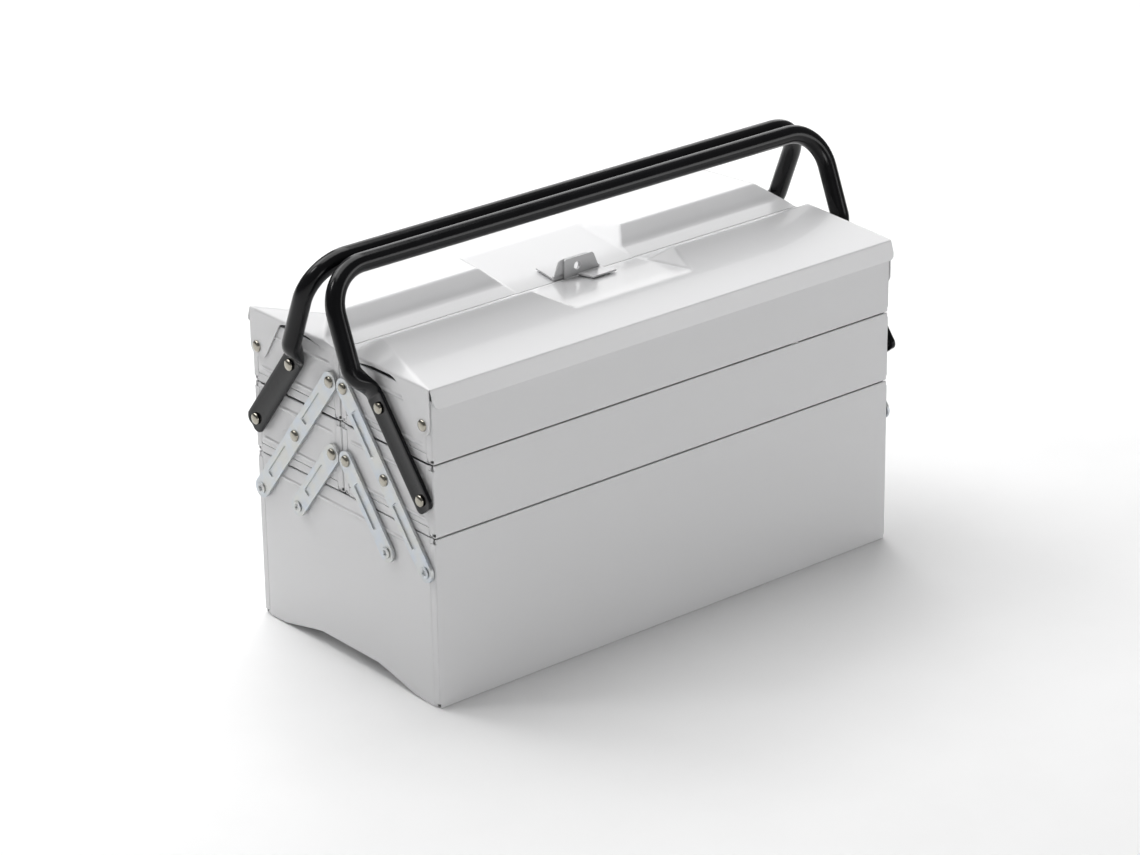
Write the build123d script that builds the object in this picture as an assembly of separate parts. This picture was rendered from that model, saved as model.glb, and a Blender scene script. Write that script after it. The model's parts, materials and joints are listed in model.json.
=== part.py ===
from build123d import *
from math import atan2, cos, degrees, hypot, radians, sin, tan
import os

# Cantilever toolbox: a deep base, two middle trays, two top trays with roof-shaped lids, parallel arms on
# both ends and two tubular carrying handles whose flattened ends are the outer arms of the linkage.
# X runs along the length, the front is -Y, Z is up. The origin is on the ground under the middle of the base.
# Every side part is modelled for the back (+Y) and mirrored for the front. Lengths are in millimetres.

# ---------------------------------------------------------------- driving dimensions
body_length = 430.0       # base and trays, outside, along X
body_depth = 208.0        # base, outside, along Y
base_height = 130.0       # ground to the rim of the base
tray_pitch = 55.0         # height step from one tier to the next
sheet = 0.8               # sheet thickness of base, trays and lids
bend_radius = 1.5         # outside radius of folded corners
seam_gap = 0.6            # between stacked tiers, and between the front and back trays
strip_width = 6.0         # folded strip of the shell on each end face
bottom_strip = 7.0        # the same strip along a tray's bottom
hem_height = 7.0          # doubled sheet along each rim
floor_rise = 10.0         # raised middle of the base floor
floor_half_flat = 35.0    # half width of the raised flat
foot_width = 24.0         # flat foot along each long side of the base
floor_flange = 11.0       # flange of the base end panels on the floor
notch = 2.6               # corner relief of the folds, along X and Y
notch_height = 4.0
bead_height = 0.7         # pressed beads across the end panels
bead_width = 3.2
bead_drop = 11.0          # rim to bead
bead_lift = 13.0          # bottom to bead

pivot_inner = 8.0         # innermost pivots from the middle plane
pivot_edge = 8.0          # outermost pivots from the long walls
pivot_drop = 26.0         # base rim down to the base pivots
rivet_radius = 2.5
rivet_head_radius = 4.4
rivet_head_height = 2.2
rivet_tail_height = 1.2
rivet_hole_depth = 2.0    # hollow end of the tubular rivets on the base
fixed_clearance = 0.02    # rivet in the sheet it is fixed to
pivot_clearance = 0.06    # rivet in the arm that turns on it
side_play = 0.1           # along a pivot, between arm, spacer and rivet head
spacer_radius = 5.0

arm_width = 15.0
arm_thickness = 2.0
arm_standoff = 1.3        # end face to arm
groove_length = 35.0      # pressed groove between two pivots of an arm
groove_width = 6.0
groove_depth = 1.0
groove_corner = 1.0

handle_diameter = 14.0
handle_wall = 1.2
handle_gap = 3.2          # between the two closed handles
handle_rise = 63.0        # axis of the grip above the top tier
handle_tilt = 22.0        # degrees, plane of the handle against the vertical
handle_bend = 31.0        # bend radius of the tube axis
handle_outset = 14.6      # end face to the axis of the legs
handle_leg_rise = 0.0     # top tier to the place where a leg starts to flatten
handle_standoff = 2.0     # end face to the flattened end
flat_width = 19.0
flat_thickness = 3.6
flat_above_pivot = 10.0   # length of the flattened end beyond its upper pivot
flat_below_pivot = 8.5    # and beyond its lower pivot
flat_corner = 5.0         # rounded corners of its lower end

rim_drop = 2.6            # top tray rim below the tier height
lid_side_gap = 0.7        # end face to the lid's end plate
lid_wall_gap = 0.4        # front wall to the lid's outer corner
lid_corner_rise = 2.1     # outer corner of the roof above the top tier
lid_ridge_rise = 14.3
lid_ridge_offset = 30.0   # ridge from the middle plane
lid_foot_rise = 3.0       # foot of the steep slope
lid_foot_offset = 15.6
hip_length = 15.5         # sloping end of the roof, along X
hip_foot_rise = 2.2
lid_flange_drop = 13.6    # outer flange
lid_flange_spread = 4.6
lid_end_drop = 7.7        # end plate below the seam, at the middle
ear_radius = 7.6          # round corners of the lid's hinge ears
ear_spread = 4.0          # width of an ear beyond its round corners
recess_half_foot = 55.0   # recess round the hasp, half length at its floor
recess_half_ridge = 67.0  # the same at the ridge
recess_depth_offset = 66.0

tab_sheet = 1.2           # hasp tabs
tab_gap = 0.3             # each tab from the middle plane
tab_height = 15.0
tab_straight_side = 12.0  # upright edge from the padlock hole
tab_slant_foot = 21.0     # slanted edge, at the foot and at the top
tab_slant_top = 15.0
tab_flange_depth = 20.0
tab_flange_start = 1.0
padlock_radius = 3.0
padlock_height = 8.0      # hole above the seam

# ---------------------------------------------------------------- worked-out places
half_length = body_length / 2
half_depth = body_depth / 2
pivot_step = (half_depth - pivot_edge - pivot_inner) / 2
columns = [pivot_inner + pivot_step * i for i in range(3)]
rows = [base_height - pivot_drop + tray_pitch * i for i in range(3)]
middle_bottom = base_height + seam_gap
middle_rim = base_height + tray_pitch
top_bottom = middle_rim + seam_gap
tier_top = base_height + 2 * tray_pitch
top_rim = tier_top - rim_drop
tray_inner = seam_gap / 2
arm_face = half_length + arm_standoff
handle_face = half_length + handle_standoff
handle_offset = handle_gap / 2 + handle_diameter / 2
handle_height = tier_top + handle_rise
handle_reach = half_length + handle_outset
lid_half_length = half_length + lid_side_gap + sheet
lid_corner = half_depth + lid_wall_gap
lid_corner_height = tier_top + lid_corner_rise
lid_ridge_height = tier_top + lid_ridge_rise
lid_foot_height = tier_top + lid_foot_rise
hip_foot_height = tier_top + hip_foot_rise
inner_columns = (columns[0], columns[2])   # these pivots go through a doubled edge


# ---------------------------------------------------------------- helpers
def block(x, y, z):
    """Box between three pairs of limits."""
    size = Box(x[1] - x[0], y[1] - y[0], z[1] - z[0])
    return Pos((x[0] + x[1]) / 2, (y[0] + y[1]) / 2, (z[0] + z[1]) / 2) * size


def prism_x(points, start, end):
    """Outline in (y, z), extruded along X."""
    face = Plane.YZ.offset(start) * make_face(Polyline(*points, close=True))
    return extrude(face, end - start)


def prism_y(points, start, end):
    """Outline in (x, z), extruded along Y."""
    face = Plane.XZ.offset(-end) * make_face(Polyline(*points, close=True))
    return extrude(face, end - start)


def rod_x(y, z, radius, start, end):
    """Cylinder along X."""
    return extrude(Plane.YZ.offset(start) * Pos(y, z) * Circle(radius), end - start)


def right_to_left(shape):
    return shape.mirror(Plane.YZ)


def group(shapes):
    """Separate solids kept together as one shape."""
    return Compound([solid for shape in shapes for solid in shape.solids()])


def at_both_ends(shapes):
    """Separate right-hand solids and their mirror images on the left."""
    return group([copy for shape in shapes for copy in (shape, right_to_left(shape))])


def on_side(shape, side):
    """A part made for the back, or its mirror image for the front."""
    return shape if side == "back" else shape.mirror(Plane.XZ)


def flat_link(start, end, radius, x_start, thickness):
    """Straight link with round ends, lying flat on the end face, between two (y, z) centres."""
    run = hypot(end[0] - start[0], end[1] - start[1])
    angle = degrees(atan2(end[1] - start[1], end[0] - start[0]))
    middle = Pos((start[0] + end[0]) / 2, (start[1] + end[1]) / 2)
    outline = middle * Rot(0, 0, angle) * SlotCenterToCenter(run, 2 * radius)
    return extrude(Plane.YZ.offset(x_start) * outline, thickness)


def flat_groove(middle, direction, x_start):
    """Cutter for a pressed groove with small corner radii, centred on (y, z) along a direction."""
    angle = degrees(atan2(direction[1], direction[0]))
    outline = Pos(*middle) * Rot(0, 0, angle) * RectangleRounded(groove_length, groove_width, groove_corner)
    return extrude(Plane.YZ.offset(x_start) * outline, arm_thickness)


def pivot_holes(places, radius):
    """Drill along the whole right end, at each (y, z)."""
    return group([rod_x(y, z, radius, half_length - 10, half_length + 30) for y, z in places])


# ---------------------------------------------------------------- base and trays
def tray_shell(y_in, y_out, z_low, z_high):
    """Folded tray: bottom, two long walls, doubled rims and narrow strips on both end faces."""
    outer = block((-half_length, half_length), (y_in, y_out), (z_low, z_high))
    corners = outer.edges().filter_by(Axis.Z) + outer.faces().sort_by(Axis.Z)[0].edges()
    outer = fillet(corners, bend_radius)
    inner_limit = half_length - sheet
    inner = block((-inner_limit, inner_limit), (y_in + sheet, y_out - sheet), (z_low + sheet, z_high + 1))
    corners = inner.edges().filter_by(Axis.Z) + inner.faces().sort_by(Axis.Z)[0].edges()
    shell = outer - fillet(corners, bend_radius - sheet)
    rim_end = inner_limit - sheet - bend_radius
    for y in (y_in + sheet, y_out - 2 * sheet):
        shell += block((-rim_end, rim_end), (y, y + sheet), (z_high - hem_height, z_high))
    window = block((inner_limit - 0.1, half_length + 1), (y_in + strip_width, y_out - strip_width),
                   (z_low + bottom_strip, z_high + 1))
    corner_x = (half_length - notch, half_length + 1)
    reliefs = [block(corner_x, y, z)
               for y in ((y_in - 1, y_in + notch), (y_out - notch, y_out + 1))
               for z in ((z_low - 1, z_low + notch_height), (z_high - notch_height, z_high + 1))]
    return shell - at_both_ends([window] + reliefs)


def tray_end(y_in, y_out, z_low, z_high):
    """Right end panel of a tray: flush field, tucked edge behind the shell's strips, two pressed beads."""
    gap = sheet / 2
    tuck = 3.0
    field_y = (y_in + strip_width + gap, y_out - strip_width - gap)
    field_z = (z_low + bottom_strip + gap, z_high)
    field = block((half_length - sheet, half_length), field_y, field_z)
    frame = block((half_length - 2 * sheet, half_length - sheet),
                  (y_in + 2 * sheet, y_out - 2 * sheet), (z_low + 2 * sheet, z_high))
    frame -= block((half_length - 3, half_length), (field_y[0] + tuck, field_y[1] - tuck),
                   (field_z[0] + tuck, z_high - hem_height))
    beads = [end_bead(field_y, z) for z in (z_low + bead_lift, z_high - bead_drop)]
    return field + frame + beads


def end_bead(field_y, height):
    """Flat-topped bead pressed outwards across an end panel."""
    margin = 5.0
    return block((half_length, half_length + bead_height), (field_y[0] + margin, field_y[1] - margin),
                 (height - bead_width / 2, height + bead_width / 2))


def base_floor_line(lift):
    """Upper or lower line of the base floor, from the back foot to the front foot."""
    shift = lift * tan(atan2(floor_rise, half_depth - foot_width - floor_half_flat) / 2)
    foot = half_depth - foot_width + shift
    flat = floor_half_flat + shift
    return [(foot, lift), (flat, floor_rise + lift), (-flat, floor_rise + lift), (-foot, lift)]


def base_shell():
    """Folded base: raised floor, two long walls, doubled rims and narrow strips on both end faces."""
    def trough(length, depth, lift, top, radius):
        outline = [(-depth, top), (depth, top), (depth, lift)] + base_floor_line(lift) + [(-depth, lift)]
        body = prism_x(outline, -length, length)
        upright = body.edges().filter_by(Axis.Z)
        low = body.edges().filter_by(Axis.X).filter_by(lambda e: abs(e.center().Y) > depth - 0.1)
        low = low.filter_by(lambda e: e.center().Z < lift + 0.1)
        return fillet(upright + low, radius)

    inner_limit = half_length - sheet
    shell = trough(half_length, half_depth, 0, base_height, bend_radius)
    shell -= trough(inner_limit, half_depth - sheet, sheet, base_height + 1, bend_radius - sheet)
    rim_end = inner_limit - sheet - bend_radius
    for y in (sheet - half_depth, half_depth - 2 * sheet):
        shell += block((-rim_end, rim_end), (y, y + sheet), (base_height - hem_height, base_height))
    edge = half_depth - strip_width
    outline = [(-edge, base_height + 1), (edge, base_height + 1), (edge, sheet)]
    window = prism_x(outline + base_floor_line(sheet) + [(-edge, sheet)], inner_limit - 0.1, half_length + 1)
    corner_x = (half_length - notch, half_length + 1)
    reliefs = [block(corner_x, y, z)
               for y in ((-half_depth - 1, notch - half_depth), (half_depth - notch, half_depth + 1))
               for z in ((-1, notch_height), (base_height - notch_height, base_height + 1))]
    holes = pivot_holes(base_pivots(), rivet_radius + fixed_clearance)
    return shell - at_both_ends([window, holes] + reliefs)


def base_end():
    """Right end panel of the base, with a flange on the floor."""
    gap = sheet / 2
    tuck = 3.0
    edge = half_depth - strip_width - gap
    back = half_depth - 2 * sheet
    floor = base_floor_line(sheet)

    def panel(half_width, x_range, lift):
        line = [(y, z + lift) for y, z in floor]
        low = sheet + lift
        outline = [(-half_width, base_height), (half_width, base_height), (half_width, low)]
        return prism_x(outline + line + [(-half_width, low)], *x_range)

    field = panel(edge, (half_length - sheet, half_length), 0)
    frame = panel(back, (half_length - 2 * sheet, half_length - sheet), 0)
    frame -= block((half_length - 3, half_length), (-edge + tuck, edge - tuck),
                   (floor_rise + 2 * sheet, base_height - hem_height))
    flange = panel(edge, (half_length - floor_flange, half_length - sheet), 0)
    flange -= panel(edge + 1, (half_length - floor_flange - 1, half_length), sheet)
    body = field + frame + flange + end_bead((-edge, edge), base_height - bead_drop)
    return body - pivot_holes(base_pivots(), rivet_radius + fixed_clearance)


def base_pivots():
    """Pivots of the long and short arms on the base, back and front."""
    return [(side * columns[i], rows[0]) for i in (1, 2) for side in (1, -1)]


def back_tray(level):
    """Shell and right end panel of the back tray on one level, 1 or 2, drilled for their rivets."""
    low, high = (middle_bottom, middle_rim) if level == 1 else (top_bottom, top_rim)
    limits = (tray_inner, half_depth, low, high)
    holes = pivot_holes([(y, rows[level]) for y in columns], rivet_radius + fixed_clearance)
    return tray_shell(*limits) - at_both_ends([holes]), tray_end(*limits) - holes


# ---------------------------------------------------------------- arms, rivets and spacers
def arm(first, last):
    """Right arm from one numbered pivot column on the base, up through every pivot to another."""
    steps = first - last
    pivots = [(columns[first - i], rows[i]) for i in range(steps + 1)]
    body = flat_link(pivots[0], pivots[-1], arm_width / 2, arm_face, arm_thickness)
    for low, high in zip(pivots, pivots[1:]):
        middle = ((low[0] + high[0]) / 2, (low[1] + high[1]) / 2)
        body -= flat_groove(middle, (-pivot_step, tray_pitch), arm_face + arm_thickness - groove_depth)
    return body - pivot_holes(pivots, rivet_radius + pivot_clearance)


def rivet(place, head_face, tubular=False):
    """Right-hand rivet with its head on head_face and its tail inside the end panel."""
    doubled = abs(place[0]) in inner_columns
    tail_face = half_length - (2 if doubled else 1) * sheet
    tail_end = tail_face - rivet_tail_height
    tail_radius = rivet_radius + 1.5
    stem = [(tail_end, 0), (tail_end, tail_radius), (tail_face, tail_radius), (tail_face, rivet_radius),
            (head_face, rivet_radius), (head_face, rivet_head_radius)]
    if tubular:
        head_end = head_face + rivet_head_height / 2
        bottom = head_end - rivet_hole_depth
        bore = rivet_radius - 1
        flare = [(head_end, rivet_head_radius), (head_end, bore), (bottom, bore), (bottom, 0)]
        outline = Polyline(*stem, *flare, close=True)
    else:
        head_end = head_face + rivet_head_height
        dome_radius = (rivet_head_radius ** 2 + rivet_head_height ** 2) / (2 * rivet_head_height)
        dome = RadiusArc(stem[-1], (head_end, 0), dome_radius)
        outline = Polyline(*stem) + dome + Line((head_end, 0), stem[0])
    return Pos(0, *place) * revolve(make_face(outline), Axis.X)


def spacer(place, outer_face):
    """Right-hand washer between the end face and an arm."""
    y, z = place
    ring = rod_x(y, z, spacer_radius, half_length, outer_face - side_play)
    return ring - rod_x(y, z, rivet_radius + pivot_clearance, half_length - 1, outer_face)


def base_rivets():
    head_face = arm_face + arm_thickness + side_play
    return at_both_ends([rivet(p, head_face, tubular=True) for p in base_pivots()])


def base_spacers():
    return at_both_ends([spacer(p, arm_face) for p in base_pivots()])


def tray_pivots(level):
    """Places of the back tray's pivots on one level, each with the faces of what turns there."""
    on_arm = (arm_face, arm_face + arm_thickness)
    on_handle = (handle_face, handle_face + flat_thickness)
    handle_column = 3 - level
    return [((columns[i], rows[level]), on_handle if i == handle_column else on_arm)
            for i in range(handle_column + 1)]


def tray_rivets(level):
    return at_both_ends([rivet(p, faces[1] + side_play) for p, faces in tray_pivots(level)])


def tray_spacers(level):
    return at_both_ends([spacer(p, faces[0]) for p, faces in tray_pivots(level)])


# ---------------------------------------------------------------- handle
def flat_section(point, direction, half_width, half_thickness):
    """Oval across a leg that runs along direction, its width in the plane of the end face."""
    across = Vector(0, -direction.Z, direction.Y)
    return Plane(point, x_dir=across, z_dir=direction) * Ellipse(half_width, half_thickness)


def handle():
    """Back handle: tube bent to a U, its legs flattened and kinked to follow the arms."""
    tilt = Vector(0, sin(radians(handle_tilt)), -cos(radians(handle_tilt)))
    grip = Vector(0, handle_offset, handle_height)
    bend_start = grip + Vector(handle_reach - handle_bend, 0, 0)
    leg_start = grip + Vector(handle_reach, 0, 0) + tilt * handle_bend
    leg_end = grip + Vector(handle_reach, 0, 0) + tilt * ((handle_rise - handle_leg_rise) / -tilt.Z)
    path = Line(grip, bend_start)
    path += TangentArc(bend_start, leg_start, tangent=(1, 0, 0))
    path += Line(leg_start, leg_end)
    ring = Circle(handle_diameter / 2) - Circle(handle_diameter / 2 - handle_wall)
    tube = sweep(Plane(grip, z_dir=(1, 0, 0)) * ring, path)
    plug_length = handle_diameter / 2
    plug_start = Plane(leg_end - tilt * (plug_length / 2), z_dir=tilt)
    plug = extrude(plug_start * Circle((handle_diameter - handle_wall) / 2), plug_length)

    upper, lower = (columns[1], rows[2]), (columns[2], rows[1])
    down = Vector(0, pivot_step, -tray_pitch).normalized()
    flat_top = Vector(handle_face + flat_thickness / 2, *upper) - down * flat_above_pivot
    flat_end = Vector(flat_top.X, *lower)
    neck_mid = leg_end * 0.45 + flat_top * 0.55
    neck_run = (flat_top - leg_end).normalized()
    radius = handle_diameter / 2
    sink = 2 * side_play
    neck = loft([flat_section(leg_end, tilt, radius, radius),
                 flat_section(neck_mid, neck_run, radius + 1, radius - 2.5),
                 flat_section(flat_top + down, down, flat_width / 2 - sink, flat_thickness / 2 - sink)])
    flat_length = (flat_end - flat_top).length
    outline = Plane(flat_top - Vector(flat_thickness / 2, 0, 0), x_dir=down, z_dir=(1, 0, 0))
    shape = Pos(flat_length / 2, 0) * Rectangle(flat_length, flat_width)
    tip_length = 2 * flat_width
    tip = Pos(flat_length + flat_below_pivot - tip_length / 2, 0)
    shape += tip * RectangleRounded(tip_length, flat_width, flat_corner)
    plate = extrude(outline * shape, flat_thickness)
    leg = neck + plate - pivot_holes([upper, lower], rivet_radius + pivot_clearance)
    half = tube + plug + leg
    return half + right_to_left(half)


# ---------------------------------------------------------------- lid and hasp
def recess_floor(y):
    """Height of the recess floor: from the seam, straight to the roof."""
    roof_slope = (lid_ridge_height - lid_corner_height) / (lid_corner - lid_ridge_offset)
    far_height = lid_corner_height + roof_slope * (lid_corner - recess_depth_offset)
    return tier_top + (far_height - tier_top) * y / recess_depth_offset


def lid_roof_solid():
    """Block under the roof's outer face: ridge, slopes, sloping ends and the recess round the hasp."""
    low = lid_corner_height - 20
    section = [(tray_inner, low), (lid_corner, low), (lid_corner, lid_corner_height),
               (lid_ridge_offset, lid_ridge_height), (lid_foot_offset, lid_foot_height),
               (tray_inner, tier_top)]
    hip = lid_half_length - hip_length
    outline = [(-lid_half_length, low), (lid_half_length, low), (lid_half_length, hip_foot_height),
               (hip, lid_ridge_height), (-hip, lid_ridge_height), (-lid_half_length, hip_foot_height)]
    roof = prism_x(section, -lid_half_length, lid_half_length) & prism_y(outline, 0, lid_corner + 1)
    depth = lid_ridge_height - recess_floor(lid_ridge_offset)
    slope = (recess_half_ridge - recess_half_foot) / depth
    top = 2 * depth
    trough = [(-recess_half_foot, 0), (recess_half_foot, 0),
              (recess_half_foot + slope * top, top), (-recess_half_foot - slope * top, top)]
    mouth = Plane.XZ * Pos(0, tier_top) * make_face(Polyline(*trough, close=True))
    run = Vector(0, recess_depth_offset, recess_floor(recess_depth_offset) - tier_top)
    return roof - extrude(mouth, amount=2 * run.length, dir=run)


def lid_end_plate():
    """Right end of the lid: a shallow apron at the middle, an arch over the handle and a hinge ear."""
    pivot = (columns[2], rows[2])
    top = hip_foot_height - sheet / 2
    apron = tier_top - lid_end_drop
    arch = tier_top + 0.6
    inner = (pivot[0] - ear_spread, pivot[1])
    arch_inner, arch_outer = columns[1] - 20, columns[1] + 8
    lean = Vector(pivot_step * 0.8, -tray_pitch).normalized()
    side = (inner[0] + ear_radius * lean.Y, inner[1] - ear_radius * lean.X)
    rise = (arch - 3 - side[1]) / lean.Y
    neck = (side[0] + lean.X * rise, arch - 3)
    outline = [(tray_inner, apron), (arch_inner, arch - 4.2), (arch_outer - 12, arch), (arch_outer - 2, arch),
               neck, side, (inner[0], inner[1] - ear_radius), (pivot[0], pivot[1] - ear_radius), pivot,
               (pivot[0] + ear_radius, pivot[1]), (pivot[0] + ear_radius, top), (tray_inner, top)]
    x_range = (lid_half_length - sheet, lid_half_length)
    plate = prism_x(outline, *x_range) + rod_x(*pivot, ear_radius, *x_range)
    plate += rod_x(*inner, ear_radius, *x_range)
    return plate - pivot_holes([pivot], rivet_radius + pivot_clearance)


def lid():
    """Back lid: pressed roof with a slanting outer flange and end plates that carry its hinge ears."""
    solid = lid_roof_solid()
    roof = solid - Pos(0, 0, -sheet) * solid
    keep = block((-lid_half_length, lid_half_length), (0, lid_corner + 1),
                 (lid_corner_height - 1.2 * sheet, lid_ridge_height + 1))
    flange = [(lid_corner - sheet, lid_corner_height - sheet), (lid_corner, lid_corner_height),
              (lid_corner + lid_flange_spread, lid_corner_height - lid_flange_drop),
              (lid_corner + lid_flange_spread - sheet, lid_corner_height - lid_flange_drop)]
    flange_limit = half_length + 0.5
    outer = prism_x(flange, -flange_limit, flange_limit)
    plate = lid_end_plate()
    return (roof & keep) + outer + plate + right_to_left(plate)


def hasp_tab():
    """Back hasp tab: upright plate with the padlock hole, and a flange on the floor of the recess."""
    foot = recess_floor(0) + 0.2
    top = tier_top + tab_height
    plate = [(tab_straight_side, foot), (tab_straight_side, top), (-tab_slant_top, top),
             (-tab_slant_foot, foot + tab_sheet)]
    body = prism_y(plate + [(-tab_slant_foot, foot)], tab_gap, tab_gap + tab_sheet)
    uprights = body.edges().filter_by(Axis.Y).filter_by(lambda e: e.center().Z > top - 1)
    body = fillet(uprights, 2.0)
    near, far = tab_gap, tab_gap + tab_flange_depth
    line = [(near, recess_floor(near)), (far, recess_floor(far))]
    strip = line + [(far, line[1][1] + tab_sheet), (near, line[0][1] + tab_sheet)]
    body += prism_x(strip, -tab_slant_foot, tab_flange_start)
    hole = extrude(Plane.XZ.offset(1) * Pos(0, tier_top + padlock_height) * Circle(padlock_radius), -10)
    return body - hole


# ---------------------------------------------------------------- all nodes
def all_nodes():
    nodes = {"base_shell": base_shell(), "base_arm_rivets": base_rivets(), "base_spacers": base_spacers()}
    panel = base_end()
    nodes["base_end_right"] = panel
    nodes["base_end_left"] = right_to_left(panel)
    trays = {"middle": back_tray(1), "top": back_tray(2)}
    levels = {"middle": 1, "top": 2}
    arms = {"long": arm(2, 0), "short": arm(1, 0)}
    lid_rivets = at_both_ends([rivet((columns[2], rows[2]), lid_half_length + side_play)])
    for side in ("front", "back"):
        for level, (shell, panel) in trays.items():
            name = f"{side}_{level}_tray"
            nodes[f"{name}_shell"] = on_side(shell, side)
            nodes[f"{name}_end_right"] = on_side(panel, side)
            nodes[f"{name}_end_left"] = on_side(right_to_left(panel), side)
            nodes[f"{name}_rivets"] = on_side(tray_rivets(levels[level]), side)
            nodes[f"{name}_spacers"] = on_side(tray_spacers(levels[level]), side)
        for kind, link in arms.items():
            nodes[f"{side}_{kind}_arm_right"] = on_side(link, side)
            nodes[f"{side}_{kind}_arm_left"] = on_side(right_to_left(link), side)
        nodes[f"{side}_handle"] = on_side(handle(), side)
        nodes[f"{side}_lid"] = on_side(lid(), side)
        nodes[f"{side}_lid_rivets"] = on_side(lid_rivets, side)
    nodes["back_hasp_tab"] = hasp_tab()
    nodes["front_hasp_tab"] = Rot(0, 0, 180) * hasp_tab()
    return nodes


os.makedirs("parts", exist_ok=True)
for name, shape in all_nodes().items():
    export_step(shape, f"parts/{name}.step")
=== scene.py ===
"""Cantilever toolbox: light grey enamelled sheet steel, zinc-plated arms, black tubular handles."""

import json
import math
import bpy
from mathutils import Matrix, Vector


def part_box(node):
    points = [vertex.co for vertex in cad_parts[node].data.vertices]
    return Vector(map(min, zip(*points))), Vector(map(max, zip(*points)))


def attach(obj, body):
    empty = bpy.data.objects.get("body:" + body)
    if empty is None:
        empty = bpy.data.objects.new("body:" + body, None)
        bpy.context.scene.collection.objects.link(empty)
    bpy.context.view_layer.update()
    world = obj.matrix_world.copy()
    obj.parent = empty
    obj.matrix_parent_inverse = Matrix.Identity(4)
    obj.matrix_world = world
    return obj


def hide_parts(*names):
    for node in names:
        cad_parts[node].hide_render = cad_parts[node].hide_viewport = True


bl_info = {
    "name": "Cantilever Toolbox",
    "version": (1, 0, 0),
    "blender": (4, 5, 0),
    "location": "View3D > Sidebar > Toolbox",
    "description": "Builds the sheet-metal pieces, linkage and finish of a fold-out steel toolbox",
    "category": "Object",
}

import bmesh
import bpy
from mathutils import Matrix, Vector

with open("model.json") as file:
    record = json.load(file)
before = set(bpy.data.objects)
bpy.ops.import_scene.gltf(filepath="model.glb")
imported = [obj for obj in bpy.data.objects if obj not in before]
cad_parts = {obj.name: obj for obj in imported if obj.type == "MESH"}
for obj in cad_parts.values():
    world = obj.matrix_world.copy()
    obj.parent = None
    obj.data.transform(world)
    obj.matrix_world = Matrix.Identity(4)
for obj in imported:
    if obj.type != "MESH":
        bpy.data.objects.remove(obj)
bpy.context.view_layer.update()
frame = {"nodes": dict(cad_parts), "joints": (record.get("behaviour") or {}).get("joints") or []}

MM = 0.001
SIDES = {"back": 1.0, "front": -1.0}
ENDS = {"right": 1.0, "left": -1.0}
LEVELS = ("middle", "top")
JOINTS = {joint["name"]: joint for joint in frame["joints"]}


# ---- places read from the frame
def corners(node):
    """Lowest and highest corner of a CAD node."""
    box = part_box(node)
    return Vector(box[0]), Vector(box[1])


def pivot(name):
    """(distance from the middle plane, height) of a joint of the back side."""
    place = JOINTS[name]["pos_m"]
    return abs(place[1]), place[2]


HALF_LENGTH, HALF_DEPTH, BASE_RIM = corners("base_shell")[1]
SHEET = 0.8 * MM
STRIP_GAP = 0.4 * MM
EAR_RADIUS = 7.6 * MM
EAR_SPREAD = 4.0 * MM
SHANK_RADIUS = 2.5 * MM
TUBULAR_HOLE = 2.35 * MM
FIRST_HOLE_ROW = 15
PIVOTS = {
    "base_outer": pivot("back_swing"),
    "base_mid": pivot("back_short_arm_pivot"),
    "middle_mid": pivot("back_middle_tray_pivot"),
    "middle_outer": pivot("back_handle_pivot"),
    "top_inner": pivot("back_top_tray_pivot"),
    "top_outer": pivot("back_lid_hinge"),
}
PIVOTS["middle_inner"] = (PIVOTS["top_inner"][0], PIVOTS["middle_mid"][1])
PIVOTS["top_mid"] = (PIVOTS["middle_mid"][0], PIVOTS["top_inner"][1])


def linear(code):
    """sRGB hex colour as linear red, green, blue."""
    channels = [int(code[i:i + 2], 16) / 255 for i in (1, 3, 5)]
    return tuple(c / 12.92 if c <= 0.04045 else ((c + 0.055) / 1.055) ** 2.4 for c in channels)


# ---- sizes and colours a user would change
def length_prop(name, description, millimetres):
    """Length setting in metres, from a default in millimetres."""
    return bpy.props.FloatProperty(name=name, description=description, default=millimetres * MM, min=0.0,
                                   subtype="DISTANCE", unit="LENGTH", precision=4)


def colour_prop(name, description, code):
    """Colour setting, from an sRGB hex default."""
    return bpy.props.FloatVectorProperty(name=name, description=description, default=linear(code), min=0.0,
                                         max=1.0, subtype="COLOR", size=3)


class SheetSettings(bpy.types.PropertyGroup):
    """Folds and pressings of the base and the trays"""
    bend: length_prop("Bend radius", "Outside radius of the folded corners", 1.5)
    strip: length_prop("Corner strip", "Width of the shell's strips on the end faces", 6.0)
    bottom_strip: length_prop("Bottom strip", "Height of a tray's strip along the bottom of its ends", 7.0)
    hem: length_prop("Hem", "Height of the folded rim", 7.0)
    rim_step: length_prop("Rim step", "How far the rim of an end panel lies below the long walls", 0.6)
    relief: length_prop("Corner relief", "Height of the open corners where two folds meet", 3.8)
    bead_height: length_prop("Bead height", "How far the pressed beads stand out of an end panel", 0.7)
    bead_width: length_prop("Bead width", "Width of a pressed bead", 3.4)
    notch: length_prop("Corner opening", "Width of the open corners beside an end panel", 3.0)
    bead_drop: length_prop("Bead drop", "Rim to the upper bead", 11.0)
    bead_lift: length_prop("Bead lift", "Tray bottom to the lower bead", 13.0)


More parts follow.
